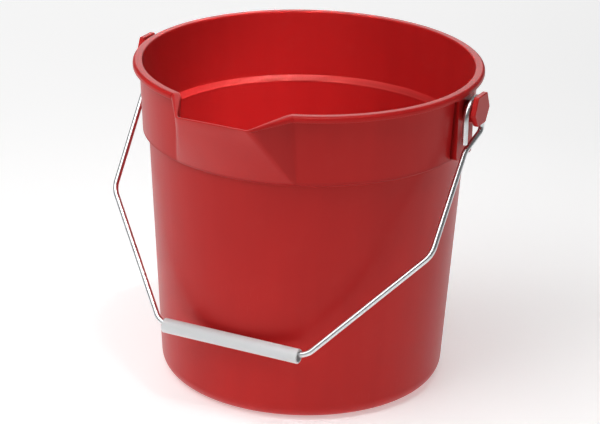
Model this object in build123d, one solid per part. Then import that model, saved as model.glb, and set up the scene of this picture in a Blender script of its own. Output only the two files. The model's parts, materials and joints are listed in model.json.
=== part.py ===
from build123d import *
import os
from math import asin, atan, atan2, cos, degrees, sin, sqrt

# Round wash bucket with a pouring spout, a wire bail and a loose tube grip.
# Millimetres. Origin: centre of the foot plane. +Z up, spout towards -Y, ears on +X and -X.

# ---- bucket, driving dimensions ----
HEIGHT = 285.75            # foot plane to the top of the rim
RIM_D = 304.8              # over the rolled rim
DRAFT = 0.0601             # growth of the body radius per millimetre of height
WALL = 2.5
FLOOR = 2.5
FOOT_LIFT = 2.0            # recess between the foot ring, the ribs and the hub
FOOT_ROUND = 15.0          # rounding between the side and the foot
FOOT_RING_W = 6.0          # flat of the foot ring
HUB_R = 16.0
RIB_W = 3.0
RIB_COUNT = 8

# ---- stepped-out band below the rim ----
BAND_H = 62.15             # rim top down to the band's lower edge
BAND_STEP = 5.1            # how far that edge stands out of the body
BAND_DRAFT = 3.1           # growth of the band's radius from its lower edge to the rim
STEP_SLOPE = 0.6           # fall of the step's underside per millimetre inwards
LEDGE_LIFT = 2.0           # inner ledge, above the band's outer lower edge
LEDGE_FALL = 4.4           # drop of the inner ledge towards the middle
LEDGE_ROUND = 0.8          # rounding where the ledge meets the band
LEDGE_LOW_ROUND = 1.2      # rounding where it meets the body
STEP_ROUND = 1.0           # rounding under the band, outside

# ---- rolled rim ----
RIM_OVERHANG = 5.8         # band's top to the outside of the rim
RIM_TOP = 2.6              # thickness of its flat
RIM_DROP = 5.3             # height of its outer skirt
RIM_SKIRT = 2.3            # thickness of that skirt
RIM_UNDER_ROUND = 0.8      # rounding between the band and the flat's underside
SKIRT_ROUND = 0.6          # rounding inside the skirt
SKIRT_FOOT_ROUND = 0.9     # rounding outside its lower edge
RIM_IN_ROUND = 1.2         # rounding of the rim's inner edge

# ---- pouring spout ----
SPOUT_JUT = 23.6           # lip outside the rim
SPOUT_DIP = 6.0            # lip below the rim top
SPOUT_LIP_W = 68.0         # width of the lip between its corners, outside
SPOUT_ROOT_W = 102.0       # opening of the spout at the rim, inside
SPOUT_SPREAD = 6.0         # front facet at the band's lower edge, wider than the opening
SPOUT_SIDE_FOOT = 3.0      # the side facets narrow to this at the band's lower edge
SPOUT_FLANGE_W = 4.2       # the rim's flange carried a little way along the spout's sides
SPOUT_FLANGE_H = 6.3
SPOUT_FLANGE_START = 0.06  # share of the spout's side, from the lip, before the flange begins
SPOUT_FLANGE_SETBACK = 0.6 # flange's root inside the rim's outer edge
SPOUT_FLANGE_DEPTH = 6.0   # flange's root sunk towards the wall
LIP_LEAN = 1.1             # level thickness of the leaning lip, in walls

# ---- ears ----
PAD_HALF_W = 16.4
PAD_PROUD = 2.4            # pad's flat face outside the band's top
PAD_FOOT = 1.0             # pad's lower end above the band's lower edge
PAD_CORNER = 4.0
BOSS_R = 9.1
BOSS_BELOW_RIM = 20.05     # boss axis below the rim top
CAP_THICK = 4.6
CAP_GAP = 0.9              # wire to cap
CAP_TOP_HALF = 9.6
CAP_FOOT_HALF = 8.2
CAP_HOLD = 0.5             # cap's widest corners past the inside of the eye
CAP_OVER_WIRE = 1.9        # cap above the wire that lies on the boss
CAP_MID_RISE = 1.8         # widest corners above the boss axis
CAP_UNDER_BOSS = 0.9       # cap below the boss
CAP_ROUND = 1.0

# ---- bail ----
WIRE_D = 5.0
RIM_GAP = 1.0              # wire to rim as the bail swings past it
EYE_SLACK = 6.2            # room between the boss and the eye's arch, both centred
EYE_LEAD = 1.0             # arch centre behind the boss axis
EYE_FLAT = 0.1             # straight left in the middle of the arch
BOSS_GAP = 0.3             # wire to boss
EYE_TIP = 18.5             # free end below the arch centre
EYE_BACK = 16.3            # back corner of the eye below the arch centre
EYE_BACK_BEND = 6.0
KNEE_BEND = 8.0
ARM_LEAD = 8.5             # line of the arms behind the boss axis, at boss height
KNEE_REACH = 38.6          # along the arms from boss height to the eye's knee
SHOULDER_REACH = 132.4     # to the shoulders
SHOULDER_IN = 2.3          # shoulders closer in than the knees, on each side
GRIP_REACH = 239.6         # to the wire under the grip
SHOULDER_BEND = 22.0
GRIP_BEND = 16.0
GRIP_END_PLAY = 10.6       # between the grip's ends and the two bends beside it, together

# ---- grip ----
GRIP_WALL = 1.7
GRIP_BORE_PLAY = 4.4       # bore over the wire's diameter
GRIP_L = 130.4
GRIP_WIRE_GAP = 0.6        # wire to the bore, where the grip hangs on the wire
REST_GAP = 0.3             # grip to the bucket's front at rest
GRIP_EDGE = 0.6

# ---- making of the solids ----
SINK = 1.0                 # a joined shape runs this far into its neighbour
CUT_OVER = 2.0             # a cut runs this far past what it trims
SPOUT_SINK = 20.0          # the spout's blank reaches this far into the bucket

# ---- values that follow ----
TILT = atan(DRAFT)
RIM_R = RIM_D / 2
BAND_Z = HEIGHT - BAND_H
BAND_TOP_R = RIM_R - RIM_OVERHANG
BAND_FOOT_R = BAND_TOP_R - BAND_DRAFT
FOOT_R = BAND_FOOT_R - BAND_STEP - DRAFT * BAND_Z
RIM_IN_R = BAND_TOP_R - WALL
STEP_Z = BAND_Z - STEP_SLOPE * BAND_STEP
LEDGE_Z = BAND_Z + LEDGE_LIFT
LEDGE_R = BAND_FOOT_R - WALL
LEDGE_LOW_Z = LEDGE_Z - LEDGE_FALL
FLOOR_Z = FOOT_LIFT + FLOOR
LIP_Z = HEIGHT - SPOUT_DIP
SPOUT_REACH = RIM_R + SPOUT_JUT
SPOUT_FOOT_W = SPOUT_ROOT_W + SPOUT_SPREAD
PAD_FACE_X = BAND_TOP_R + PAD_PROUD
BOSS_Z = HEIGHT - BOSS_BELOW_RIM
WIRE_R = WIRE_D / 2
WIRE_X = RIM_R + RIM_GAP + WIRE_R
EYE_R = BOSS_R + WIRE_R + EYE_SLACK
EYE_Z = BOSS_Z - sqrt((EYE_SLACK - BOSS_GAP)**2 - EYE_LEAD**2)
CAP_X = WIRE_X + WIRE_R + CAP_GAP
CAP_MID_HALF = EYE_R - WIRE_R + CAP_HOLD
CAP_RISE = BOSS_R + BOSS_GAP + WIRE_D + CAP_OVER_WIRE
CAP_FALL = BOSS_R + CAP_UNDER_BOSS
GRIP_BORE = WIRE_D + GRIP_BORE_PLAY
GRIP_R = GRIP_BORE / 2 + GRIP_WALL
GRIP_HANG = GRIP_BORE_PLAY / 2 - GRIP_WIRE_GAP
GRIP_SPREAD = GRIP_L + GRIP_END_PLAY


def body_r(z):
    """Outer radius of the body at a height."""
    return FOOT_R + DRAFT * z


def lathe(corners):
    """Solid of revolution from (radius, height, rounding) corners, first and last on the axis."""
    points = [(r, 0, z) for r, z, rounding in corners]
    radii = [rounding for r, z, rounding in corners[1:-1]]
    outline = FilletPolyline(*points, radius=radii) + Line(points[-1], points[0])
    return revolve(make_face(outline), Axis.Z)


def shell_of_revolution():
    """Body, band, ledge and rolled rim, before the spout and the ears."""
    return lathe([
        (0, 0, 0),
        (FOOT_R, 0, FOOT_ROUND),
        (body_r(STEP_Z), STEP_Z, STEP_ROUND),
        (BAND_FOOT_R, BAND_Z, 0),
        (BAND_TOP_R, HEIGHT - RIM_TOP, RIM_UNDER_ROUND),
        (RIM_R - RIM_SKIRT, HEIGHT - RIM_TOP, SKIRT_ROUND),
        (RIM_R - RIM_SKIRT, HEIGHT - RIM_DROP, SKIRT_ROUND),
        (RIM_R, HEIGHT - RIM_DROP, SKIRT_FOOT_ROUND),
        (RIM_R, HEIGHT, RIM_TOP),
        (RIM_IN_R, HEIGHT, RIM_IN_ROUND),
        (LEDGE_R, LEDGE_Z, LEDGE_ROUND),
        (body_r(LEDGE_LOW_Z) - WALL, LEDGE_LOW_Z, LEDGE_LOW_ROUND),
        (body_r(FLOOR_Z) - WALL, FLOOR_Z, FOOT_ROUND - WALL),
        (0, FLOOR_Z, 0),
    ])


def bowl():
    """The space inside body and band, for trimming what is joined to them from outside."""
    return lathe([
        (0, FLOOR_Z, 0),
        (body_r(FLOOR_Z) - WALL, FLOOR_Z, FOOT_ROUND - WALL),
        (body_r(LEDGE_LOW_Z) - WALL, LEDGE_LOW_Z, 0),
        (LEDGE_R, LEDGE_Z, 0),
        (RIM_IN_R, HEIGHT, 0),
        (RIM_IN_R, HEIGHT + 2 * CUT_OVER, 0),
        (0, HEIGHT + 2 * CUT_OVER, 0),
    ])


def on_circle(radius, x):
    """Point of a circle about the axis, on the spout's side, at a distance to the right."""
    return (x, -sqrt(radius**2 - x**2))


def spout_face(z, corner, root, back_y):
    """Level section of the spout above its foot: straight lip, two sides, closed behind."""
    right = [(corner.X, corner.Y), (root.X, root.Y), (root.X / 2, back_y)]
    left = [(-x, y) for x, y in reversed(right)]
    return Plane.XY.offset(z) * make_face(Polyline(left[-1], *right, *left))


def spout_foot_face(z, radius, half, side, back_y):
    """Level section of the spout at its foot, where the front follows the band's circle."""
    front_right = on_circle(radius, half)
    root_right = on_circle(radius - WALL / 2, half + side)
    front_left = (-front_right[0], front_right[1])
    root_left = (-root_right[0], root_right[1])
    back = [(root_right[0] / 2, back_y), (-root_right[0] / 2, back_y)]
    front = ThreePointArc(front_left, (0, -radius), front_right)
    rest = Polyline(front_right, root_right, *back, root_left, front_left)
    return Plane.XY.offset(z) * make_face(front + rest)


def spout_sides(lip_y, lip_half):
    """Outer and inner (corner, root) of the spout's right side, one wall apart."""
    inner_root = Vector(*on_circle(RIM_IN_R, SPOUT_ROOT_W / 2))
    outer_corner = Vector(lip_half, lip_y)
    span = inner_root - outer_corner
    turn = atan2(span.Y, span.X) - asin(WALL / span.length)
    along = Vector(cos(turn), sin(turn))
    reach = -outer_corner.dot(along)
    reach -= sqrt(outer_corner.dot(along)**2 - outer_corner.length**2 + BAND_TOP_R**2)
    outer_root = outer_corner + along * reach
    inner_lip_y = lip_y + WALL * LIP_LEAN
    inner_corner = inner_root - along * ((inner_root.Y - inner_lip_y) / along.Y)
    into_wall = along * (WALL / 2)
    return (outer_corner, outer_root + into_wall), (inner_corner, inner_root + into_wall)


def spout_blocks():
    """Solid under the spout's outside, and the hollow inside it."""
    top_z = HEIGHT + CUT_OVER
    grow = (top_z - BAND_Z) / (LIP_Z - BAND_Z)
    foot_half = SPOUT_FOOT_W / 2
    lip_y = -BAND_FOOT_R - (SPOUT_REACH - BAND_FOOT_R) * grow
    lip_half = foot_half + (SPOUT_LIP_W / 2 - foot_half) * grow
    outer, inner = spout_sides(lip_y, lip_half)
    back_y = outer[1].Y + SPOUT_SINK
    outer_foot = spout_foot_face(BAND_Z, BAND_FOOT_R, foot_half, SPOUT_SIDE_FOOT, back_y)
    inner_foot = spout_foot_face(LEDGE_Z, LEDGE_R, foot_half - WALL / 2, SPOUT_SIDE_FOOT, 0)
    solid = loft([outer_foot, spout_face(top_z, *outer, back_y)], ruled=True)
    hollow = loft([inner_foot, spout_face(top_z, *inner, 0)], ruled=True)
    return solid, hollow


def spout_top_cut():
    """Space above the spout's sloping top, from the rim down to the lip."""
    root_y = on_circle(RIM_IN_R, SPOUT_ROOT_W / 2)[1]
    slope = SPOUT_DIP / (SPOUT_REACH + root_y)
    far = SPOUT_REACH + SPOUT_SINK
    near = root_y + 2 * SPOUT_SINK
    clear_z = HEIGHT + 2 * CUT_OVER
    outline = Polyline(
        (0, near, HEIGHT),
        (0, root_y, HEIGHT),
        (0, -far, HEIGHT - slope * (far + root_y)),
        (0, -far, clear_z),
        (0, near, clear_z),
        close=True,
    )
    half = SPOUT_ROOT_W / 2 + 2 * SPOUT_FLANGE_W
    return extrude(make_face(outline), amount=half, dir=(1, 0, 0), both=True)


def spout_flanges():
    """The rim's flange, carried along both sides of the spout and dying out at the lip."""
    outer = spout_sides(-SPOUT_REACH, SPOUT_LIP_W / 2)[0]
    corner, root = outer
    inward = Vector(-WALL / 2, 0)
    tip = corner + (root - corner) * SPOUT_FLANGE_START
    heel = Vector(*on_circle(RIM_R - SPOUT_FLANGE_SETBACK, root.X + SPOUT_FLANGE_W))
    sunk_heel = heel - heel.normalized() * SPOUT_FLANGE_DEPTH
    plate = make_face(Polyline(tip, heel, sunk_heel, root, tip + inward, close=True))
    low_z = LIP_Z - 2 * SPOUT_FLANGE_H
    flange = Pos(0, 0, low_z) * extrude(plate, amount=HEIGHT + CUT_OVER - low_z)
    slope = (SPOUT_FLANGE_H - WALL - SPOUT_DIP) / (root.Y - corner.Y)
    low = Polyline(
        (0, 0, LIP_Z - WALL - slope * corner.Y),
        (0, -RIM_D, LIP_Z - WALL - slope * (corner.Y + RIM_D)),
        (0, -RIM_D, 0),
        (0, 0, 0),
        close=True,
    )
    flange -= extrude(make_face(low), amount=RIM_D, dir=(1, 0, 0), both=True)
    return flange + mirror(flange, Plane.YZ)


def foot_recess():
    """Recess of the underside between the foot ring, the hub and eight ribs."""
    ring_r = FOOT_R - FOOT_ROUND - FOOT_RING_W
    disc = Circle(ring_r) - Circle(HUB_R)
    for turn in range(RIB_COUNT // 2):
        disc -= Rot(0, 0, turn * 360 / RIB_COUNT) * Rectangle(2 * ring_r, RIB_W)
    return extrude(disc, amount=FOOT_LIFT)


def ear():
    """Right ear: flat pad on the band, round boss, and the cap that keeps the wire on it."""
    pad_foot_z = BAND_Z + PAD_FOOT
    pad_top_z = HEIGHT - RIM_TOP / 2
    pad_outline = FilletPolyline(
        (-PAD_HALF_W, pad_top_z),
        (-PAD_HALF_W, pad_foot_z),
        (PAD_HALF_W, pad_foot_z),
        (PAD_HALF_W, pad_top_z),
        radius=PAD_CORNER,
    )
    pad_face = Plane.YZ * make_face(pad_outline + Line((PAD_HALF_W, pad_top_z), (-PAD_HALF_W, pad_top_z)))
    pad_depth = PAD_FACE_X - BAND_FOOT_R + 2 * WALL
    pad = extrude(pad_face, amount=pad_depth, dir=(1, 0, 0))
    pad = Pos(PAD_FACE_X - pad_depth, 0, 0) * pad - bowl()
    boss_l = CAP_X - PAD_FACE_X + 2 * SINK
    boss = Pos(PAD_FACE_X - SINK, 0, BOSS_Z) * extrude(Plane.YZ * Circle(BOSS_R), amount=boss_l)
    cap_outline = Polyline(
        (-CAP_FOOT_HALF, -CAP_FALL),
        (CAP_FOOT_HALF, -CAP_FALL),
        (CAP_MID_HALF, CAP_MID_RISE),
        (CAP_TOP_HALF, CAP_RISE),
        (-CAP_TOP_HALF, CAP_RISE),
        (-CAP_MID_HALF, CAP_MID_RISE),
        close=True,
    )
    cap = extrude(Plane.YZ * make_face(cap_outline), amount=CAP_THICK)
    cap = fillet(cap.edges(), CAP_ROUND)
    return pad + boss + Pos(CAP_X, 0, BOSS_Z) * cap


def bucket():
    """The whole moulding."""
    solid, hollow = spout_blocks()
    body = shell_of_revolution() + (solid - hollow - bowl()) + spout_flanges()
    body -= hollow
    body -= spout_top_cut()
    body -= foot_recess()
    right = ear()
    return body + right + mirror(right, Plane.YZ)


def rest_tilt():
    """Lean of the bail's arms from vertical, where the grip touches the bucket's front."""
    reach = GRIP_REACH + GRIP_HANG
    touch = (GRIP_R + REST_GAP) / cos(TILT)
    level = (touch + body_r(BOSS_Z) + ARM_LEAD) / reach
    return asin(level * cos(TILT)) - TILT


REST = rest_tilt()


def arm_point(x, reach):
    """Point of the bail's plane, to the right of the middle and down along the arms."""
    return Vector(x, ARM_LEAD - reach * sin(REST), BOSS_Z - reach * cos(REST))


def bail():
    """One bent wire: eye, knee, arm, shoulder and run to the grip, on both sides."""
    front_y = EYE_LEAD - EYE_R
    rear_y = EYE_LEAD + EYE_R
    top_z = EYE_Z + EYE_R
    right = [
        arm_point(GRIP_SPREAD / 2, GRIP_REACH),
        arm_point(WIRE_X - SHOULDER_IN, SHOULDER_REACH),
        arm_point(WIRE_X, KNEE_REACH),
        Vector(WIRE_X, rear_y, EYE_Z - EYE_BACK),
        Vector(WIRE_X, rear_y, top_z),
        Vector(WIRE_X, front_y, top_z),
        Vector(WIRE_X, front_y, EYE_Z - EYE_TIP),
    ]
    arch_bend = EYE_R - EYE_FLAT / 2
    bends = [GRIP_BEND, SHOULDER_BEND, KNEE_BEND, EYE_BACK_BEND, arch_bend, arch_bend]
    left = [Vector(-p.X, p.Y, p.Z) for p in right]
    path = FilletPolyline(*reversed(left), *right, radius=[*reversed(bends), *bends])
    section = Plane(path @ 0, z_dir=path % 0) * Circle(WIRE_R)
    return sweep(section, path=path)


def grip():
    """Tube that hangs loose on the bail's wire."""
    middle = arm_point(0, GRIP_REACH + GRIP_HANG)
    tube = Cylinder(GRIP_R, GRIP_L) - Cylinder(GRIP_BORE / 2, GRIP_L)
    tube = fillet(tube.edges().filter_by(GeomType.CIRCLE), GRIP_EDGE)
    return Pos(*middle) * Rot(0, 90, 0) * tube


def main():
    os.makedirs("parts", exist_ok=True)
    export_step(bucket(), "parts/bucket_shell.step")
    export_step(bail(), "parts/bail_wire.step")
    export_step(grip(), "parts/bail_grip.step")
    grip_axis = arm_point(0, GRIP_REACH + GRIP_HANG)
    hang = arm_point(0, GRIP_REACH)
    lean = degrees(atan2(-grip_axis.Y, BOSS_Z - grip_axis.Z))
    print("boss axis", 0, round(BOSS_Z, 3), "arms", round(degrees(REST), 3))
    print("grip axis", round(grip_axis.Y, 4), round(grip_axis.Z, 4))
    print("wire in the grip", round(hang.Y, 4), round(hang.Z, 4))
    print("bail travel", round(360 - 2 * lean, 2))


main()
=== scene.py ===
import json
from math import asin, atan2, cos, degrees, pi, radians, sin, tan

import bmesh
import bpy
from mathutils import Matrix, Quaternion, Vector


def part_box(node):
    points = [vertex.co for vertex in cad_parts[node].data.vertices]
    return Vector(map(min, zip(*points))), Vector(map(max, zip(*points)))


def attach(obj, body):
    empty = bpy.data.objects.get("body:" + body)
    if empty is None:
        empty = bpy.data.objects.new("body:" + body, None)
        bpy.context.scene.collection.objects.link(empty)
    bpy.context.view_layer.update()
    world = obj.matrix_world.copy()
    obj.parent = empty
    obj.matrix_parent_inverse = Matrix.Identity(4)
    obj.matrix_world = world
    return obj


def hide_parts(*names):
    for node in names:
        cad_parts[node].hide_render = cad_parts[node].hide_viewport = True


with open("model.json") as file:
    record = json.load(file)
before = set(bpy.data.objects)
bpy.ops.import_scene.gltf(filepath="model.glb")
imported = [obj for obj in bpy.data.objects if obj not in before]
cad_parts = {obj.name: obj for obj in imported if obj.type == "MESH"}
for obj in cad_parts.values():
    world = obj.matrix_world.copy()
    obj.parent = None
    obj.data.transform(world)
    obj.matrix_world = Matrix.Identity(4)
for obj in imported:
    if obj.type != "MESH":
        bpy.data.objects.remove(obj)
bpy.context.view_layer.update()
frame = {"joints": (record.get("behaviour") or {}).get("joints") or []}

# A round wash bucket: red moulding with a spout and two ears, zinc wire bail, white tube grip.
# Metres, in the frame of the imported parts: +Z up, spout towards -Y, ears on +X and -X.

MM = 0.001
TOUCH = 0.01 * MM
ROUND_SEGMENTS = 64
WIRE_SEGMENTS = 28

# ---- places read from the frame ----
shell_lo, shell_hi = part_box("bucket_shell")
wire_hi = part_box("bail_wire")[1]
grip_lo, grip_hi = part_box("bail_grip")
joints = {joint["name"]: joint for joint in frame["joints"]}
boss_axis = Vector(joints["bail_swing"]["pos_m"])
grip_axis = Vector(joints["grip_spin"]["pos_m"])

RIM_Z = shell_hi.z
RIM_R = shell_hi.y
SPOUT_REACH = -shell_lo.y
CAP_OUT_X = shell_hi.x

# ---- bucket ----
DRAFT = 0.0601
WALL = 2.5 * MM
FOOT_LIFT = 2.0 * MM
FLOOR_Z = 4.5 * MM
FOOT_ROUND = 15.0 * MM
HUB_R = 16.0 * MM
RIB_W = 3.0 * MM
RIB_COUNT = 8
RIB_SINK = 1.0 * MM
RIB_OVERLAP = 2.0 * MM
RIB_EDGE = 0.4 * MM
BAND_HEIGHT = 62.15 * MM
BAND_STEP = 5.1 * MM
BAND_DRAFT = 3.1 * MM
FOOT_RING_W = 6.0 * MM
RIM_OVERHANG = 5.8 * MM
RIM_TOP = 2.6 * MM
RIM_DROP = 5.3 * MM
RIM_SKIRT = 2.3 * MM
BAND_Z = RIM_Z - BAND_HEIGHT
BAND_TOP_R = RIM_R - RIM_OVERHANG
BAND_FOOT_R = BAND_TOP_R - BAND_DRAFT
FOOT_R = BAND_FOOT_R - BAND_STEP - DRAFT * BAND_Z
RING_R = FOOT_R - FOOT_ROUND - FOOT_RING_W
STEP_Z = BAND_Z - 3.06 * MM
LEDGE_Z = BAND_Z + 2.0 * MM
LEDGE_R = BAND_FOOT_R - WALL
LEDGE_LOW_Z = LEDGE_Z - 4.4 * MM
RIM_IN_R = BAND_TOP_R - WALL
LIP_ROUND = 1.1 * MM

# ---- spout; turns are degrees round the axis on the plain wall before the spout is drawn out ----
LIP_DIP = 6.0 * MM
LIP_HALF = 34.0 * MM
SPOUT_ROOT_HALF = 52.0 * MM
SPOUT_FOOT_HALF = 54.0 * MM
SPOUT_SIDE_FOOT = 3.0 * MM
LIP_TURN = 11.0
ROOT_TURN = 20.0
SPOUT_TURN = 32.0
SPOUT_COLUMN = 0.25
WALL_COLUMN = 2.0
DIP_START_Z = RIM_Z - 20.0 * MM
LIP_SOFT_TURN = 0.9
ROOT_SOFT_TURN = 1.2
SOFT_STEPS = 4
WAY_NUDGE = 0.05

# ---- ears ----
PAD_HALF_W = 16.4 * MM
PAD_PROUD = 2.4 * MM
PAD_X = BAND_TOP_R + PAD_PROUD
PAD_SINK = 1.5 * MM
PAD_FOOT_Z = BAND_Z + 1.0 * MM
PAD_CORNER = 4.0 * MM
PAD_EDGE = 0.9 * MM
BOSS_R = 9.1 * MM
CAP_THICK = 4.6 * MM
CAP_CORNER = 0.9 * MM
CAP_EDGE = 0.7 * MM
CAP_OUTLINE = ((-8.2, -10.0), (8.2, -10.0), (15.8, 1.8), (9.6, 16.3), (-9.6, 16.3), (-15.8, 1.8))

# ---- bail and grip ----
WIRE_R = 2.5 * MM
GRIP_R = (grip_hi.z - grip_lo.z) / 2
GRIP_BORE_R = 4.7 * MM
GRIP_END_PLAY = 10.6 * MM
WIRE_END_ROUND = 0.7 * MM
BEND_STEP = 5
EYE_R = 17.8 * MM
ARM_LEAD = 8.5 * MM
GRIP_HANG = 1.6 * MM
GRIP_REACH = 239.6 * MM
SHOULDER_REACH = 132.4 * MM
KNEE_REACH = 38.6 * MM
GRIP_SPREAD = grip_hi.x - grip_lo.x + GRIP_END_PLAY
SHOULDER_IN = 2.3 * MM
EYE_LEAD = 1.0 * MM
EYE_BACK = 16.3 * MM
EYE_TIP = 18.5 * MM
BAIL_BENDS = [bend * MM for bend in (17.75, 17.75, 6, 8, 22, 16)]
WIRE_X = wire_hi.x - WIRE_R
EYE_Z = wire_hi.z - WIRE_R - EYE_R
REST = asin((ARM_LEAD - grip_axis.y) / (GRIP_REACH + GRIP_HANG))


# ================= small tools =================

def new_piece(name, bm, material, body, *stands_for):
    """Closes a bmesh into a smooth-shaded piece that rides on a body."""
    mesh = bpy.data.meshes.new(name)
    bm.to_mesh(mesh)
    bm.free()
    for polygon in mesh.polygons:
        polygon.use_smooth = True
    piece = bpy.data.objects.new(name, mesh)
    bpy.context.scene.collection.objects.link(piece)
    piece.data.materials.append(material)
    shading = piece.modifiers.new("even_normals", "WEIGHTED_NORMAL")
    shading.weight = 50
    shading.keep_sharp = True
    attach(piece, body)
    if stands_for:
        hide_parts(*stands_for)
    return piece


def bevel(bm, edges, width, segments):
    """Rounds edges with an even arc."""
    return bmesh.ops.bevel(
        bm,
        geom=edges,
        offset=width,
        offset_type="OFFSET",
        segments=segments,
        profile=0.5,
        affect="EDGES",
        material=-1,
        clamp_overlap=True,
    )


def outward(bm):
    """Merges doubles, then points every face outwards."""
    bmesh.ops.remove_doubles(bm, verts=bm.verts, dist=1e-6)
    bmesh.ops.recalc_face_normals(bm, faces=bm.faces)


def arc_corner(before, corner, after, rounding, steps):
    """Points of a rounded corner between two straight runs of an outline."""
    to_before = (before - corner).normalized()
    to_after = (after - corner).normalized()
    if rounding <= 0:
        return [corner] * (steps + 1)
    half = to_before.angle(to_after) / 2
    centre = corner + (to_before + to_after).normalized() * (rounding / sin(half))
    start = corner + to_before * (rounding / tan(half)) - centre
    sweep = pi - 2 * half
    side = 1 if to_before.cross(to_after) < 0 else -1
    return [centre + Matrix.Rotation(side * sweep * k / steps, 2) @ start for k in range(steps + 1)]


def section(corners):
    """Ordered points of an outline of (across, up, rounding, arc steps, cuts in the run before)."""
    points = [Vector(corners[0][:2])]
    for before, corner, after in zip(corners, corners[1:], corners[2:]):
        arc = arc_corner(Vector(before[:2]), Vector(corner[:2]), Vector(after[:2]), *corner[2:4])
        start = points[-1]
        cuts = corner[4]
        points += [start.lerp(arc[0], k / (cuts + 1)) for k in range(1, cuts + 1)]
        points += arc
    points.append(Vector(corners[-1][:2]))
    return points


def stretch(value, marks, places):
    """Straight-line reading of places at marks; held level beyond both ends."""
    if value <= marks[0]:
        return places[0]
    for low, high, start, end in zip(marks, marks[1:], places, places[1:]):
        if value <= high:
            return start + (end - start) * (value - low) / (high - low)
    return places[-1]


def round_the_axis(radius, turn):
    """Plan point at a radius, turned from the spout's middle (-Y) towards +X, in degrees."""
    return Vector((radius * sin(radians(turn)), -radius * cos(radians(turn))))


# ================= bucket wall =================

def rim_corners():
    """Rolled rim's outline over the band, with its flange and skirt."""
    return [
        (BAND_TOP_R, RIM_Z - RIM_TOP, 0.9 * MM, 3, 18),
        (RIM_R - RIM_SKIRT, RIM_Z - RIM_TOP, 0.7 * MM, 3, 0),
        (RIM_R - RIM_SKIRT, RIM_Z - RIM_DROP, 0.7 * MM, 3, 0),
        (RIM_R, RIM_Z - RIM_DROP, 0.9 * MM, 3, 0),
        (RIM_R, RIM_Z, 2.9 * MM, 7, 1),
        (RIM_IN_R, RIM_Z, 1.5 * MM, 5, 2),
    ]


def lip_corners():
    """The same corners where the rim has died out and only the wall's rounded top is left."""
    return [
        (BAND_TOP_R, RIM_Z - 2.6 * MM, 0, 3, 18),
        (BAND_TOP_R, RIM_Z - 2.3 * MM, 0, 3, 0),
        (BAND_TOP_R, RIM_Z - 2.0 * MM, 0, 3, 0),
        (BAND_TOP_R, RIM_Z - 1.7 * MM, 0, 3, 0),
        (BAND_TOP_R, RIM_Z, LIP_ROUND, 7, 1),
        (RIM_IN_R, RIM_Z, LIP_ROUND, 5, 2),
    ]


def wall_corners(top):
    """Whole outline of the moulding, from the hub's middle round the wall to the floor's middle."""
    return [
        (0, 0),
        (HUB_R, 0, 0.6 * MM, 2, 1),
        (HUB_R, FOOT_LIFT, 0.8 * MM, 2, 0),
        (RING_R, FOOT_LIFT, 0.8 * MM, 2, 3),
        (RING_R, 0, 0.6 * MM, 2, 0),
        (FOOT_R, 0, FOOT_ROUND, 14, 0),
        (FOOT_R + DRAFT * STEP_Z, STEP_Z, 1.2 * MM, 4, 8),
        (BAND_FOOT_R, BAND_Z, 0.9 * MM, 5, 0),
        *top,
        (LEDGE_R, LEDGE_Z, 1.2 * MM, 4, 18),
        (FOOT_R + DRAFT * LEDGE_LOW_Z - WALL, LEDGE_LOW_Z, 1.6 * MM, 5, 0),
        (FOOT_R + DRAFT * FLOOR_Z - WALL, FLOOR_Z, FOOT_ROUND - WALL, 12, 8),
        (0, FLOOR_Z),
    ]


def middle_r(z):
    """Radius of the band wall's middle, before the spout is drawn out."""
    rise = (z - BAND_Z) / (RIM_Z - RIM_TOP - BAND_Z)
    return BAND_FOOT_R - WALL / 2 + rise * (BAND_TOP_R - BAND_FOOT_R)


LIP_Z = RIM_Z - LIP_DIP
FOOT_FRONT = degrees(asin(SPOUT_FOOT_HALF / BAND_FOOT_R))
FOOT_ROOT = degrees(asin((SPOUT_FOOT_HALF + SPOUT_SIDE_FOOT) / BAND_FOOT_R))
TOP_ROOT = degrees(asin(SPOUT_ROOT_HALF / middle_r(LIP_Z)))
LIP_CORNER = Vector((LIP_HALF - WALL * 0.45, -SPOUT_REACH + WALL * 0.5))
ROOT_POINT = round_the_axis(middle_r(LIP_Z), TOP_ROOT)
TURNS = (0, LIP_TURN, ROOT_TURN, SPOUT_TURN)


def mirrored(point, turn):
    """The point on the spout's own side for a turn: right above 0, left below."""
    return Vector((point.x if turn >= 0 else -point.x, point.y))


def foot_point(turn):
    """Plan point of the wall's middle at the band's lower edge."""
    side = stretch(abs(turn), TURNS, (0, FOOT_FRONT, FOOT_ROOT, SPOUT_TURN))
    return mirrored(round_the_axis(middle_r(BAND_Z), side), turn)


def lip_point(turn):
    """Plan point of the wall's middle at the lip's height: lip, side, then the plain circle."""
    side = abs(turn)
    if side <= LIP_TURN:
        return Vector((LIP_CORNER.x * turn / LIP_TURN, LIP_CORNER.y))
    if side <= ROOT_TURN:
        along = (side - LIP_TURN) / (ROOT_TURN - LIP_TURN)
        return mirrored(LIP_CORNER.lerp(ROOT_POINT, along), turn)
    beyond = stretch(side, (ROOT_TURN, SPOUT_TURN), (TOP_ROOT, SPOUT_TURN))
    return mirrored(round_the_axis(middle_r(LIP_Z), beyond), turn)


def softened(reading, turn):
    """A reading averaged over its neighbours, so the spout's edges come out rounded."""
    spread = stretch(abs(turn), (LIP_TURN, ROOT_TURN), (LIP_SOFT_TURN, ROOT_SOFT_TURN))
    steps = range(-SOFT_STEPS, SOFT_STEPS + 1)
    places = [reading(turn + spread * k / SOFT_STEPS) for k in steps]
    return sum(places[1:], places[0]) / len(places)


def flange_share(turn):
    """0 on the lip, where the rim has died out; 1 where the rim is whole."""
    return stretch(abs(turn), (LIP_TURN + 0.6, ROOT_TURN + 0.5), (0.0, 1.0))


def dip_share(turn):
    """1 along the lip, falling to 0 at the spout's root."""
    return 1 - stretch(abs(turn), (LIP_TURN, ROOT_TURN), (0.0, 1.0))


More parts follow.
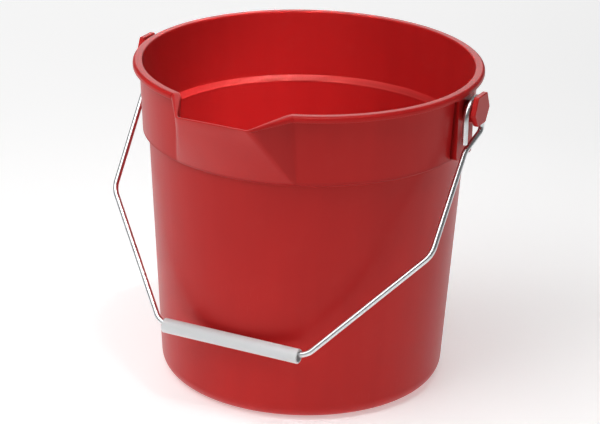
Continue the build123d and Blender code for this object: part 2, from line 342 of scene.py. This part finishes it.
def along_wall(reading, turn):
    """Direction in which a softened plan point moves as the turn grows."""
    return (softened(reading, turn + WAY_NUDGE) - softened(reading, turn - WAY_NUDGE)).normalized()


def spout_column(turn):
    """Foot, lip, their directions along the wall, the dip and the flange's share at a turn."""
    foot = softened(foot_point, turn)
    lip = softened(lip_point, turn)
    foot_way = along_wall(foot_point, turn)
    lip_way = along_wall(lip_point, turn)
    dip = LIP_DIP * softened(dip_share, turn)
    return foot, lip, foot_way, lip_way, dip, softened(flange_share, turn)


def draw_out_spout(bm, lip_outline):
    """Moves the front of the band out to the spout's facets and thins the rim down to its lip."""
    columns = {}
    for vert in bm.verts:
        turn = round(degrees(atan2(vert.co.x, -vert.co.y)), 3)
        if abs(turn) >= SPOUT_TURN:
            continue
        if turn not in columns:
            columns[turn] = spout_column(turn)
        foot, lip, foot_way, lip_way, dip, flange = columns[turn]
        across, up, _ = vert[lip_outline].lerp(Vector((vert.co.xy.length, vert.co.z, 0)), flange)
        up -= dip * stretch(up, (DIP_START_Z, RIM_Z - RIM_DROP), (0.0, 1.0))
        outside = across - middle_r(up)
        start_z = BAND_Z if outside > 0 else LEDGE_Z
        if up <= start_z:
            vert.co.xy = foot.normalized() * across
        else:
            rise = (up - start_z) / (LIP_Z - start_z)
            way = foot_way.lerp(lip_way, min(rise, 1.0)).normalized()
            vert.co.xy = foot.lerp(lip, rise) + Vector((way.y, -way.x)) * outside
        vert.co.z = up


def bucket_wall():
    """Spins the moulding's outline, closely spaced over the spout, and draws the spout out."""
    outline = section(wall_corners(rim_corners()))
    thinned = section(wall_corners(lip_corners()))
    bm = bmesh.new()
    lip_outline = bm.verts.layers.float_vector.new("lip_outline")
    for point, thin in zip(outline, thinned):
        plan = round_the_axis(point.x, -SPOUT_TURN)
        vert = bm.verts.new((plan.x, plan.y, point.y))
        vert[lip_outline] = (thin.x, thin.y, 0)
    bm.verts.ensure_lookup_table()
    for k in range(len(bm.verts) - 1):
        bm.edges.new((bm.verts[k], bm.verts[k + 1]))
    start = bm.verts[:] + bm.edges[:]
    for turn, column in ((2 * SPOUT_TURN, SPOUT_COLUMN), (360 - 2 * SPOUT_TURN, WALL_COLUMN)):
        spun = bmesh.ops.spin(
            bm,
            geom=start,
            cent=(0, 0, 0),
            axis=(0, 0, 1),
            angle=radians(turn),
            steps=round(turn / column),
            use_merge=False,
            use_duplicate=False,
        )
        start = spun["geom_last"]
    draw_out_spout(bm, lip_outline)
    outward(bm)
    bmesh.ops.dissolve_degenerate(bm, dist=1e-6, edges=bm.edges)
    return bm


def foot_ribs():
    """Eight ribs under the floor, flush with the foot ring."""
    bm = bmesh.new()
    for k in range(RIB_COUNT):
        made = bmesh.ops.create_cube(bm, size=1)["verts"]
        length = RING_R - HUB_R + 2 * RIB_OVERLAP
        height = FOOT_LIFT + RIB_SINK
        bmesh.ops.scale(bm, vec=(length, RIB_W, height), verts=made)
        middle = ((HUB_R + RING_R) / 2, 0, height / 2)
        bmesh.ops.translate(bm, vec=middle, verts=made)
        turned = Matrix.Rotation(2 * pi * k / RIB_COUNT, 3, "Z")
        bmesh.ops.rotate(bm, cent=(0, 0, 0), matrix=turned, verts=made)
    bevel(bm, bm.edges[:], RIB_EDGE, 2)
    outward(bm)
    return bm


# ================= ears =================

def ear_pad(bm):
    """Flat pad standing out of the band under the rim."""
    top_z = RIM_Z - RIM_TOP / 2
    made = bmesh.ops.create_cube(bm, size=1)["verts"]
    bmesh.ops.scale(bm, vec=(1, 2 * PAD_HALF_W, top_z - PAD_FOOT_Z), verts=made)
    bmesh.ops.translate(bm, vec=(0, 0, (top_z + PAD_FOOT_Z) / 2), verts=made)
    for vert in made:
        wall_r = stretch(vert.co.z, (BAND_Z, RIM_Z - RIM_TOP), (BAND_FOOT_R, BAND_TOP_R))
        vert.co.x = PAD_X if vert.co.x > 0 else wall_r - PAD_SINK
    edges = {edge for vert in made for edge in vert.link_edges}
    low = [e for e in edges if all(v.co.z < PAD_FOOT_Z + MM for v in e.verts)
           and abs(e.verts[0].co.x - e.verts[1].co.x) > MM]
    bevel(bm, low, PAD_CORNER, 8)
    front = [e for e in bm.edges if all(v.co.x > PAD_X - TOUCH for v in e.verts)]
    bevel(bm, front, PAD_EDGE, 4)


def ear_boss(bm):
    """Round boss that the bail's eye hangs on."""
    length = CAP_OUT_X - PAD_X
    made = bmesh.ops.create_cone(
        bm,
        cap_ends=True,
        segments=ROUND_SEGMENTS,
        radius1=BOSS_R,
        radius2=BOSS_R,
        depth=length,
    )["verts"]
    bmesh.ops.rotate(bm, cent=(0, 0, 0), matrix=Matrix.Rotation(pi / 2, 3, "Y"), verts=made)
    middle = (CAP_OUT_X - CAP_THICK / 2 - length / 2, boss_axis.y, boss_axis.z)
    bmesh.ops.translate(bm, vec=middle, verts=made)


def ear_cap(bm):
    """Six-sided cap that keeps the eye on the boss."""
    inner_x = CAP_OUT_X - CAP_THICK
    corners = [bm.verts.new((inner_x, y * MM, boss_axis.z + z * MM)) for y, z in CAP_OUTLINE]
    face = bm.faces.new(corners)
    pulled = bmesh.ops.extrude_face_region(bm, geom=[face])["geom"]
    verts = [g for g in pulled if isinstance(g, bmesh.types.BMVert)]
    bmesh.ops.translate(bm, vec=(CAP_THICK, 0, 0), verts=verts)
    own = set(corners) | set(verts)
    short = [e for e in bm.edges if set(e.verts) <= own
             and abs(e.verts[0].co.x - e.verts[1].co.x) > MM]
    bevel(bm, short, CAP_CORNER, 3)
    rest = [e for e in bm.edges if all(v.co.x > inner_x - TOUCH for v in e.verts)
            and abs(e.verts[0].co.x - e.verts[1].co.x) < TOUCH
            and len(e.link_faces) == 2 and e.calc_face_angle(0) > 1]
    bevel(bm, rest, CAP_EDGE, 3)


def ear(side):
    """Pad, boss and cap of one ear; side is 1 on the right and -1 on the left."""
    bm = bmesh.new()
    ear_cap(bm)
    ear_boss(bm)
    ear_pad(bm)
    outward(bm)
    if side < 0:
        bmesh.ops.scale(bm, vec=(-1, 1, 1), verts=bm.verts)
        bmesh.ops.reverse_faces(bm, faces=bm.faces)
    return bm


# ================= bail and grip =================

def wire_run(bm, ring, way):
    """Draws the wire's end ring straight on."""
    pulled = bmesh.ops.extrude_edge_only(bm, edges=ring)["geom"]
    verts = [g for g in pulled if isinstance(g, bmesh.types.BMVert)]
    bmesh.ops.translate(bm, vec=way, verts=verts)
    return [g for g in pulled if isinstance(g, bmesh.types.BMEdge)]


def wire_bend(bm, ring, centre, axis, angle):
    """Bends the wire's end ring round a centre."""
    verts = list({vert for edge in ring for vert in edge.verts})
    spun = bmesh.ops.spin(
        bm,
        geom=ring + verts,
        cent=centre,
        axis=axis,
        angle=angle,
        steps=max(6, round(degrees(angle) / BEND_STEP)),
        use_merge=False,
        use_duplicate=False,
    )
    return [g for g in spun["geom_last"] if isinstance(g, bmesh.types.BMEdge)]


def bent_wire(points, radii):
    """Round wire along straight runs and arcs, with rounded ends."""
    bm = bmesh.new()
    facing = (points[1] - points[0]).to_track_quat("Z", "Y").to_matrix().to_4x4()
    made = bmesh.ops.create_circle(
        bm,
        segments=WIRE_SEGMENTS,
        radius=WIRE_R,
        matrix=Matrix.Translation(points[0]) @ facing,
    )
    ring = bm.edges[:]
    tip = list(ring)
    at = points[0]
    for corner, after, radius in zip(points[1:], points[2:], radii):
        into = (corner - at).normalized()
        out = (after - corner).normalized()
        turn = into.angle(out)
        setback = radius * tan(turn / 2)
        start = corner - into * setback
        ring = wire_run(bm, ring, start - at)
        axis = into.cross(out).normalized()
        ring = wire_bend(bm, ring, start + axis.cross(into) * radius, axis, turn)
        at = corner + out * setback
    ring = wire_run(bm, ring, points[-1] - at)
    ends = bmesh.ops.holes_fill(bm, edges=tip + ring, sides=0)["faces"]
    rims = list({edge for face in ends for edge in face.edges})
    bevel(bm, rims, WIRE_END_ROUND, 4)
    outward(bm)
    return bm


def arm_point(x, reach):
    """Point of the resting bail at a distance down its slanting arms."""
    return Vector((x, ARM_LEAD - reach * sin(REST), boss_axis.z - reach * cos(REST)))


def bail_side():
    """Points of the right half of the bail, from the eye's free tip to the grip's run."""
    front_y = EYE_LEAD + EYE_R
    back_y = EYE_LEAD - EYE_R
    return [
        Vector((WIRE_X, back_y, EYE_Z - EYE_TIP)),
        Vector((WIRE_X, back_y, EYE_Z + EYE_R)),
        Vector((WIRE_X, front_y, EYE_Z + EYE_R)),
        Vector((WIRE_X, front_y, EYE_Z - EYE_BACK)),
        arm_point(WIRE_X, KNEE_REACH),
        arm_point(WIRE_X - SHOULDER_IN, SHOULDER_REACH),
        arm_point(GRIP_SPREAD / 2, GRIP_REACH),
    ]


def bail():
    """One length of wire: eye, arm and shoulder on each side, and a straight run in the grip."""
    right = bail_side()
    left = [Vector((-p.x, p.y, p.z)) for p in reversed(right)]
    return bent_wire(right + left, BAIL_BENDS + BAIL_BENDS[::-1])


def grip():
    """White tube with softened ends."""
    bm = bmesh.new()
    half = (grip_hi.x - grip_lo.x) / 2
    corners = [
        (-half, GRIP_BORE_R, 0.5 * MM, 3, 0),
        (-half, GRIP_R, 0.9 * MM, 4, 0),
        (half, GRIP_R, 0.9 * MM, 4, 24),
        (half, GRIP_BORE_R, 0.5 * MM, 3, 0),
    ]
    start = [(0, GRIP_BORE_R)]
    points = section(start + corners + start)[1:-1]
    verts = [bm.verts.new((p.x, grip_axis.y, grip_axis.z + p.y)) for p in points]
    for k in range(len(verts)):
        bm.edges.new((verts[k - 1], verts[k]))
    bmesh.ops.spin(
        bm,
        geom=bm.verts[:] + bm.edges[:],
        cent=grip_axis,
        axis=(1, 0, 0),
        angle=2 * pi,
        steps=ROUND_SEGMENTS,
        use_merge=True,
        use_duplicate=False,
    )
    outward(bm)
    return bm


# ================= finishes =================

class Value:
    """A socket's number; sums written on it add their Math nodes."""

    def __init__(self, finish, socket):
        self.finish = finish
        self.socket = socket

    def __add__(self, other):
        return self.finish.sum("ADD", self, other)

    __radd__ = __add__

    def __sub__(self, other):
        return self.finish.sum("SUBTRACT", self, other)

    def __rsub__(self, other):
        return self.finish.sum("SUBTRACT", other, self)

    def __mul__(self, other):
        return self.finish.sum("MULTIPLY", self, other)

    __rmul__ = __mul__


class Finish:
    """One material; each of its nodes comes from add()."""

    def __init__(self, name):
        self.material = bpy.data.materials.new(name)
        self.material.use_nodes = True
        self.tree = self.material.node_tree
        self.tree.nodes.clear()
        self.place = self.add("ShaderNodeTexCoord", {}, {}, "Object")

    def add(self, kind, settings, values, output=0):
        """Adds a node, its settings first and then its sockets, and gives one output."""
        node = self.tree.nodes.new(kind)
        for name, setting in settings.items():
            if name == "stops":
                for element, (at, level) in zip(node.color_ramp.elements, setting):
                    element.position = at
                    element.color = (level, level, level, 1)
            else:
                setattr(node, name, setting)
        for name, value in values.items():
            if isinstance(value, Value):
                self.tree.links.new(value.socket, node.inputs[name])
            else:
                node.inputs[name].default_value = value
        return Value(self, node.outputs[output]) if node.outputs else node

    def sum(self, operation, first, second):
        return self.add("ShaderNodeMath", {"operation": operation}, {0: first, 1: second})

    def part(self, axis):
        """X, Y or Z of the object coordinates."""
        return self.add("ShaderNodeSeparateXYZ", {}, {"Vector": self.place}, axis)

    def turned(self, scale, rotation=(0, 0, 0)):
        """Object coordinates stretched and turned for a pattern."""
        values = {"Vector": self.place, "Scale": scale, "Rotation": rotation}
        return self.add("ShaderNodeMapping", {}, values)

    def noise(self, scale, detail=2.0, place=None, roughness=0.5):
        values = {
            "Vector": place or self.place,
            "Scale": scale,
            "Detail": detail,
            "Roughness": roughness,
        }
        return self.add("ShaderNodeTexNoise", {}, values)

    def band(self, value, low, high):
        """0 below low, 1 above high."""
        ramp = {"stops": ((low, 0.0), (high, 1.0))}
        return self.add("ShaderNodeValToRGB", ramp, {"Fac": value})

    def blend(self, mask, first, second):
        """Colour that goes from first to second as the mask rises."""
        return self.add("ShaderNodeMix", {"data_type": "RGBA"}, {0: mask, 6: first, 7: second}, 2)

    def bump(self, height, strength, depth):
        values = {"Height": height, "Strength": strength, "Distance": depth}
        return self.add("ShaderNodeBump", {}, values)

    def done(self, values):
        surface = self.add("ShaderNodeBsdfPrincipled", {}, values)
        self.add("ShaderNodeOutputMaterial", {}, {"Surface": surface})
        return self.material


def scratches(finish, rotation, fine, low):
    """Sparse thin lines lying one way: long noise cut near its peaks."""
    lines = finish.noise(1.0, 3.0, finish.turned((fine, fine, fine * 0.035), rotation))
    patches = finish.noise(14.0, 2.0)
    return finish.band(lines, low, low + 0.06) * finish.band(patches, 0.5, 0.68)


def ledge_face(finish):
    """1 on the flat of the inner ledge, 0 on its two rounded edges and everywhere else."""
    up = finish.part("Z")
    above = finish.band(up, LEDGE_LOW_Z + 0.6 * MM, LEDGE_LOW_Z + 1.6 * MM)
    below = 1 - finish.band(up, LEDGE_Z - 1.5 * MM, LEDGE_Z - 0.5 * MM)
    spread = finish.part("X") * finish.part("X") + finish.part("Y") * finish.part("Y")
    edge_r = LEDGE_R - 0.4 * MM
    inside = 1 - finish.band(spread, edge_r ** 2, (edge_r + 0.4 * MM) ** 2)
    return above * below * inside


def red_moulding():
    """Satin red polyethylene: orange peel, faint flow marks, rubbed spots and fine scratches, with
    painted shade on the flat of the inner ledge.
    """
    finish = Finish("bucket_red")
    broad = finish.noise(7.0, 3.0)
    flow = finish.noise(1.0, 3.0, finish.turned((46, 46, 5)))
    peel = finish.noise(420.0, 2.0)
    grain = finish.noise(1900.0, 3.0, roughness=0.6)
    along = scratches(finish, (0.35, 0.2, 0.1), 900.0, 0.67)
    crossing = scratches(finish, (1.2, 0.5, 0.9), 1100.0, 0.69)
    scuffs = along + crossing
    dust = finish.band(finish.noise(34.0, 6.0, roughness=0.7), 0.55, 0.8)
    shade = finish.band(broad * 0.65 + flow * 0.35, 0.35, 0.65)
    colour = finish.blend(shade, (0.50, 0.0130, 0.0140, 1), (0.57, 0.0170, 0.0170, 1))
    ledge = ledge_face(finish)
    # Painted shade: the flat of the inner ledge is darkened to a deep red in the base colour,
    # because the lamps from above light this upward-facing face too brightly.
    colour = finish.blend(ledge * 0.5, colour, (0.17, 0.0080, 0.0080, 1))
    colour = finish.blend(dust * 0.05, colour, (0.72, 0.12, 0.10, 1))
    colour = finish.blend(scuffs * 0.2, colour, (0.74, 0.10, 0.09, 1))
    rough = 0.27 + broad * 0.08 + grain * 0.05 + dust * 0.08 + scuffs * 0.10 + ledge * 0.3
    relief = peel * 0.55 + grain * 0.3 + flow * 0.5 - scuffs * 0.35
    return finish.done({
        "Base Color": colour,
        "Roughness": rough,
        "IOR": 1.5,
        "Specular IOR Level": 0.22,
        "Specular Tint": (1.0, 0.88, 0.76, 1),
        "Subsurface Weight": 0.05,
        "Subsurface Radius": (0.006, 0.0012, 0.001),
        "Subsurface Scale": 1.0,
        "Sheen Weight": 0.02,
        "Sheen Roughness": 0.4,
        "Sheen Tint": (1.0, 0.75, 0.72, 1),
        "Normal": finish.bump(relief, 0.22, 0.0003),
    })


def zinc():
    """Zinc-plated wire: soft spangle, drawing marks and a few dull patches."""
    finish = Finish("zinc_plate")
    spangle = finish.noise(230.0, 3.0)
    cloud = finish.noise(38.0, 4.0)
    marks = finish.noise(1.0, 3.0, finish.turned((1500, 1500, 90)))
    dull = finish.band(cloud, 0.5, 0.72)
    flakes = finish.band(spangle, 0.35, 0.65)
    bright = finish.blend(flakes, (0.70, 0.72, 0.73, 1), (0.80, 0.82, 0.83, 1))
    colour = finish.blend(dull * 0.35, bright, (0.56, 0.57, 0.57, 1))
    rough = 0.22 + spangle * 0.06 + dull * 0.12 + marks * 0.06
    relief = spangle * 0.5 + marks * 0.5
    return finish.done({
        "Base Color": colour,
        "Metallic": 1.0,
        "Roughness": rough,
        "Normal": finish.bump(relief, 0.12, 0.0001),
    })


def white_tube():
    """White extruded tube: long die lines, faint handling marks."""
    finish = Finish("grip_white")
    die_lines = finish.noise(1.0, 3.0, finish.turned((12, 1300, 1300)))
    cloud = finish.noise(26.0, 4.0)
    specks = finish.band(finish.noise(520.0, 2.0), 0.66, 0.74)
    grime = finish.band(cloud, 0.48, 0.78)
    colour = finish.blend(grime * 0.3, (0.76, 0.79, 0.80, 1), (0.66, 0.65, 0.61, 1))
    colour = finish.blend(specks * 0.25, colour, (0.50, 0.46, 0.40, 1))
    rough = 0.34 + die_lines * 0.1 + grime * 0.12
    relief = die_lines * 0.8 + cloud * 0.4
    return finish.done({
        "Base Color": colour,
        "Roughness": rough,
        "IOR": 1.5,
        "Subsurface Weight": 0.12,
        "Subsurface Radius": (0.003, 0.003, 0.0025),
        "Subsurface Scale": 1.0,
        "Normal": finish.bump(relief, 0.2, 0.0002),
    })


def pale_floor():
    """Plain near-white floor."""
    finish = Finish("floor_pale")
    tone = finish.blend(finish.noise(3.0), (0.86, 0.86, 0.86, 1), (0.89, 0.89, 0.89, 1))
    return finish.done({
        "Base Color": tone,
        "Roughness": 0.9,
        "Specular IOR Level": 0.1,
        "Emission Color": (1, 1, 1, 1),
        "Emission Strength": 0.4,
    })


# ================= the object =================

red = red_moulding()
plated = zinc()
white = white_tube()

wall = new_piece("bucket_wall", bucket_wall(), red, "bucket", "bucket_shell")
ribs = new_piece("foot_ribs", foot_ribs(), red, "bucket")
ears = [new_piece("ear_right", ear(1), red, "bucket"), new_piece("ear_left", ear(-1), red, "bucket")]
wire = new_piece("bail_bent_wire", bail(), plated, "bail", "bail_wire")
tube = new_piece("grip_tube", grip(), white, "grip", "bail_grip")


# ================= floor, light, camera =================

CAMERA_AZIMUTH = radians(26.2)
CAMERA_DISTANCE = 2.0418
CAMERA_HEIGHT = 0.94446
CAMERA_AIM_Z = 0.1439
CAMERA_AIM_LEFT = 0.0044
CAMERA_ROLL = 0.0260
CAMERA_LENS = 148.5

FLOOR_R = 6.0


def floor():
    """Wide round floor at the bucket's foot."""
    bm = bmesh.new()
    bmesh.ops.create_circle(bm, cap_ends=True, segments=96, radius=FLOOR_R)
    mesh = bpy.data.meshes.new("floor")
    bm.to_mesh(mesh)
    bm.free()
    mesh.materials.append(pale_floor())
    ground = bpy.data.objects.new("floor", mesh)
    bpy.context.scene.collection.objects.link(ground)


def soft_light(name, place, target, size, power, spread=180):
    """Square soft box at a place, facing a target."""
    light = bpy.data.lights.new(name, "AREA")
    light.shape = "SQUARE"
    light.size = size
    light.energy = power
    light.spread = radians(spread)
    lamp = bpy.data.objects.new(name, light)
    lamp.location = place
    lamp.rotation_euler = (Vector(target) - Vector(place)).to_track_quat("-Z", "Y").to_euler()
    bpy.context.scene.collection.objects.link(lamp)


def surroundings(level):
    """Even white light from all round."""
    world = bpy.data.worlds.new("studio")
    world.use_nodes = True
    background = world.node_tree.nodes["Background"]
    background.inputs["Color"].default_value = (1, 1, 1, 1)
    background.inputs["Strength"].default_value = level
    bpy.context.scene.world = world


def camera():
    """Looks down at the bucket's middle from the front right, from about two metres."""
    lens = bpy.data.cameras.new("camera")
    lens.lens = CAMERA_LENS
    lens.sensor_width = 36
    lens.dof.use_dof = False
    eye = bpy.data.objects.new("camera", lens)
    across = Vector((cos(CAMERA_AZIMUTH), sin(CAMERA_AZIMUTH), 0))
    back = Vector((sin(CAMERA_AZIMUTH), -cos(CAMERA_AZIMUTH), 0))
    eye.location = back * CAMERA_DISTANCE + Vector((0, 0, CAMERA_HEIGHT))
    aim = Vector((0, 0, CAMERA_AIM_Z)) - across * CAMERA_AIM_LEFT
    facing = (aim - eye.location).to_track_quat("-Z", "Y")
    eye.rotation_euler = (facing @ Quaternion((0, 0, 1), CAMERA_ROLL)).to_euler()
    bpy.context.scene.collection.objects.link(eye)
    bpy.context.scene.camera = eye


floor()
soft_light("key_left", (-1.25, -1.15, 2.1), (0, 0, 0.15), 1.2, 12)
soft_light("front_left", (-0.35, -1.6, 1.9), (0, 0, 0.2), 0.8, 10)
soft_light("top", (-0.3, -0.6, 2.4), (0, 0, 0.15), 1.3, 14)
soft_light("behind", (-1.1, 2.1, 0.9), (0, 0, 0.28), 1.4, 10)
soft_light("over_rim", (0.5, -0.35, 2.3), (0, 0, 0.15), 0.6, 0.3, 25)
soft_light("into_bucket", (0.36, -0.1, 2.0), (-0.04, 0.03, 0.28), 0.13, 0.18, 5)
soft_light("far_wall", (0.5, -1.0, 1.85), (-0.04, 0.08, 0.28), 0.13, 0.018, 5)
surroundings(0.14)
camera()
bpy.context.scene.view_settings.view_transform = "Standard"
